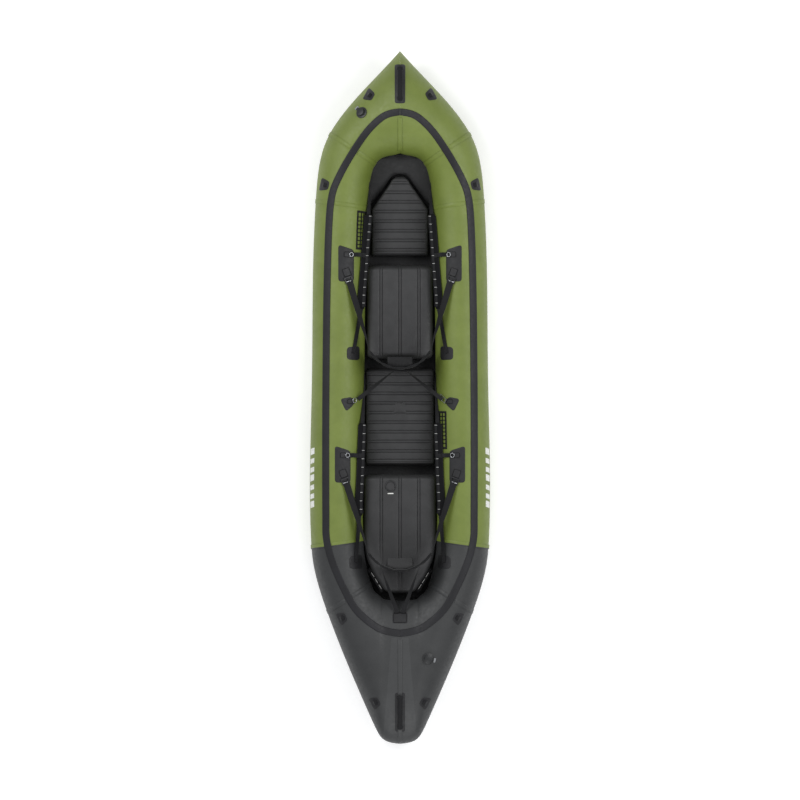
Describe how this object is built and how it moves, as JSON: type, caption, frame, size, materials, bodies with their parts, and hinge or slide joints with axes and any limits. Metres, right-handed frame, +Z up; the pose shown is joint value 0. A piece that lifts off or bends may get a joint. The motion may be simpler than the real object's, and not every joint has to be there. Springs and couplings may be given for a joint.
{
  "type": "inflatable kayak",
  "caption": "Open tandem inflatable kayak: two side tubes, welded floor mats, inflated seats, hinged backrests, swinging thigh straps and capped valves",
  "frame": {"origin": "centre of the overall box, on the ground under the flat bottom", "axes": "+Y to the bow, +X to starboard, +Z up"},
  "size_m": [1.0714, 4.1, 0.446],
  "materials": {
    "pvc_green": "PVC-coated polyester, olive green forward and charcoal aft",
    "pvc_bottom": "heavy PVC-coated polyester, charcoal",
    "pvc_apron": "PVC-coated polyester, charcoal",
    "pvc_band": "embossed PVC tape, dark grey",
    "pvc_seam": "welded seam tape in the hull's colour",
    "pvc_mat": "welded inflatable mat in charcoal coated fabric",
    "pvc_seat": "welded inflatable seat in charcoal coated fabric",
    "pvc_patch": "welded reinforcement patch, dark grey",
    "webbing": "woven polyester webbing",
    "stainless": "stainless steel wire",
    "acetal": "moulded acetal buckle",
    "backrest_foam": "foam panel in woven polyester",
    "thigh_padding": "foam pad in woven polyester",
    "binding": "polyester binding",
    "net": "knotless polyester net",
    "valve_plastic": "moulded dark grey plastic",
    "valve_plunger": "moulded grey plastic",
    "spring_steel": "stainless spring wire"
  },
  "bodies": {
    "hull": {"port_tube": "pvc_green", "starboard_tube": "pvc_green", "bottom_sheet": "pvc_bottom", "bow_apron": "pvc_apron", "port_band": "pvc_band", "starboard_band": "pvc_band", "seam_tapes": "pvc_seam", "centre_tapes": "pvc_band", "front_mat": "pvc_mat", "rear_mat": "pvc_mat", "front_seat": "pvc_seat", "rear_seat": "pvc_seat", "bow_handle_base": "pvc_patch", "bow_handle": "webbing", "stern_handle_base": "pvc_patch", "stern_handle": "webbing", "lash_patches": "pvc_patch", "lash_loops": "webbing", "side_patches": "pvc_patch", "ring_tabs": "pvc_patch", "snap_rings": "stainless", "front_backrest_straps": "webbing", "front_stay_straps": "webbing", "stay_patches": "pvc_patch", "stay_rings": "stainless", "rear_backrest_straps": "webbing", "rear_stay_straps": "webbing", "stern_patch": "pvc_patch", "thigh_anchors": "pvc_patch", "thigh_patches": "pvc_patch", "thigh_adjusters": "webbing", "pocket_frames": "binding", "pocket_nets": "net", "bow_valve_body": "valve_plastic", "bow_valve_spring": "spring_steel", "stern_valve_body": "valve_plastic", "stern_valve_spring": "spring_steel"},
    "bow_valve_plunger": {"bow_valve_plunger": "valve_plunger"},
    "stern_valve_plunger": {"stern_valve_plunger": "valve_plunger"},
    "bow_valve_cap": {"bow_valve_cap": "valve_plastic"},
    "stern_valve_cap": {"stern_valve_cap": "valve_plastic"},
    "front_backrest": {"front_backrest": "backrest_foam", "front_backrest_flap": "webbing"},
    "front_port_buckle": {"front_port_buckle": "acetal"},
    "front_port_thigh": {"front_port_thigh_pad": "thigh_padding", "front_port_thigh_webs": "webbing"},
    "front_starboard_buckle": {"front_starboard_buckle": "acetal"},
    "front_starboard_thigh": {"front_starboard_thigh_pad": "thigh_padding", "front_starboard_thigh_webs": "webbing"},
    "rear_backrest": {"rear_backrest": "backrest_foam", "rear_backrest_flap": "webbing"},
    "rear_port_buckle": {"rear_port_buckle": "acetal"},
    "rear_port_thigh": {"rear_port_thigh_pad": "thigh_padding", "rear_port_thigh_webs": "webbing"},
    "rear_starboard_buckle": {"rear_starboard_buckle": "acetal"},
    "rear_starboard_thigh": {"rear_starboard_thigh_pad": "thigh_padding", "rear_starboard_thigh_webs": "webbing"}
  },
  "joints": [
    {"name": "bow_valve_press", "type": "slide", "parent": "hull", "child": "bow_valve_plunger", "axis": [0.4533, -0.2815, -0.8458], "range_m": [0, 0.004], "stiffness_N_per_m": 400, "springref_m": -0.002, "deforming": ["bow_valve_spring"]},
    {"name": "bow_valve_cap_hinge", "type": "hinge", "parent": "hull", "child": "bow_valve_cap", "pos_m": [-0.25257, 1.70428, 0.35497], "axis": [-0.6773, -0.7256, -0.1215], "range_deg": [0, 150]},
    {"name": "stern_valve_press", "type": "slide", "parent": "hull", "child": "stern_valve_plunger", "axis": [-0.1524, 0.0348, -0.9877], "range_m": [0, 0.004], "stiffness_N_per_m": 400, "springref_m": -0.002, "deforming": ["stern_valve_spring"]},
    {"name": "stern_valve_cap_hinge", "type": "hinge", "parent": "hull", "child": "stern_valve_cap", "pos_m": [0.19695, -1.54817, 0.35686], "axis": [0.2584, 0.966, -0.0058], "range_deg": [0, 150]},
    {"name": "front_port_buckle_tilt", "type": "hinge", "parent": "hull", "child": "front_port_buckle", "pos_m": [-0.30862, 0.71198, 0.31054], "axis": [-0.8919, -0.3424, 0.2953], "range_deg": [0, 30], "deforming": ["front_backrest_straps"]},
    {"name": "front_starboard_buckle_tilt", "type": "hinge", "parent": "hull", "child": "front_starboard_buckle", "pos_m": [0.30862, 0.71198, 0.31054], "axis": [-0.8919, 0.3424, -0.2953], "range_deg": [0, 30], "deforming": ["front_backrest_straps"]},
    {"name": "rear_port_buckle_tilt", "type": "hinge", "parent": "hull", "child": "rear_port_buckle", "pos_m": [-0.32775, -0.47602, 0.31257], "axis": [-0.8972, -0.3424, 0.2789], "range_deg": [0, 30], "deforming": ["rear_backrest_straps"]},
    {"name": "rear_starboard_buckle_tilt", "type": "hinge", "parent": "hull", "child": "rear_starboard_buckle", "pos_m": [0.32775, -0.47602, 0.31257], "axis": [-0.8972, 0.3424, -0.2789], "range_deg": [0, 30], "deforming": ["rear_backrest_straps"]},
    {"name": "front_backrest_fold", "type": "hinge", "parent": "hull", "child": "front_backrest", "pos_m": [0, 0.242, 0.2004], "axis": [-1, 0, 0], "range_deg": [-10, 55], "deforming": ["front_backrest_straps", "front_stay_straps", "front_backrest_flap"]},
    {"name": "rear_backrest_fold", "type": "hinge", "parent": "hull", "child": "rear_backrest", "pos_m": [0, -0.949, 0.2004], "axis": [-1, 0, 0], "range_deg": [-10, 55], "deforming": ["rear_backrest_straps", "rear_stay_straps", "rear_backrest_flap"]},
    {"name": "front_port_thigh_swing", "type": "hinge", "parent": "hull", "child": "front_port_thigh", "pos_m": [-0.17571, 1.25429, 0.17853], "axis": [0.0984, 0.9887, -0.1127], "range_deg": [0, 25], "deforming": ["thigh_adjusters", "front_port_thigh_webs"]},
    {"name": "front_starboard_thigh_swing", "type": "hinge", "parent": "hull", "child": "front_starboard_thigh", "pos_m": [0.17571, 1.25429, 0.17853], "axis": [0.0984, -0.9887, 0.1127], "range_deg": [0, 25], "deforming": ["thigh_adjusters", "front_starboard_thigh_webs"]},
    {"name": "rear_port_thigh_swing", "type": "hinge", "parent": "hull", "child": "rear_port_thigh", "pos_m": [-0.20478, 0.1179, 0.16872], "axis": [0.0496, 0.9929, -0.1081], "range_deg": [0, 25], "deforming": ["thigh_adjusters", "rear_port_thigh_webs"]},
    {"name": "rear_starboard_thigh_swing", "type": "hinge", "parent": "hull", "child": "rear_starboard_thigh", "pos_m": [0.20478, 0.1179, 0.16872], "axis": [0.0496, -0.9929, 0.1081], "range_deg": [0, 25], "deforming": ["thigh_adjusters", "rear_starboard_thigh_webs"]}
  ]
}
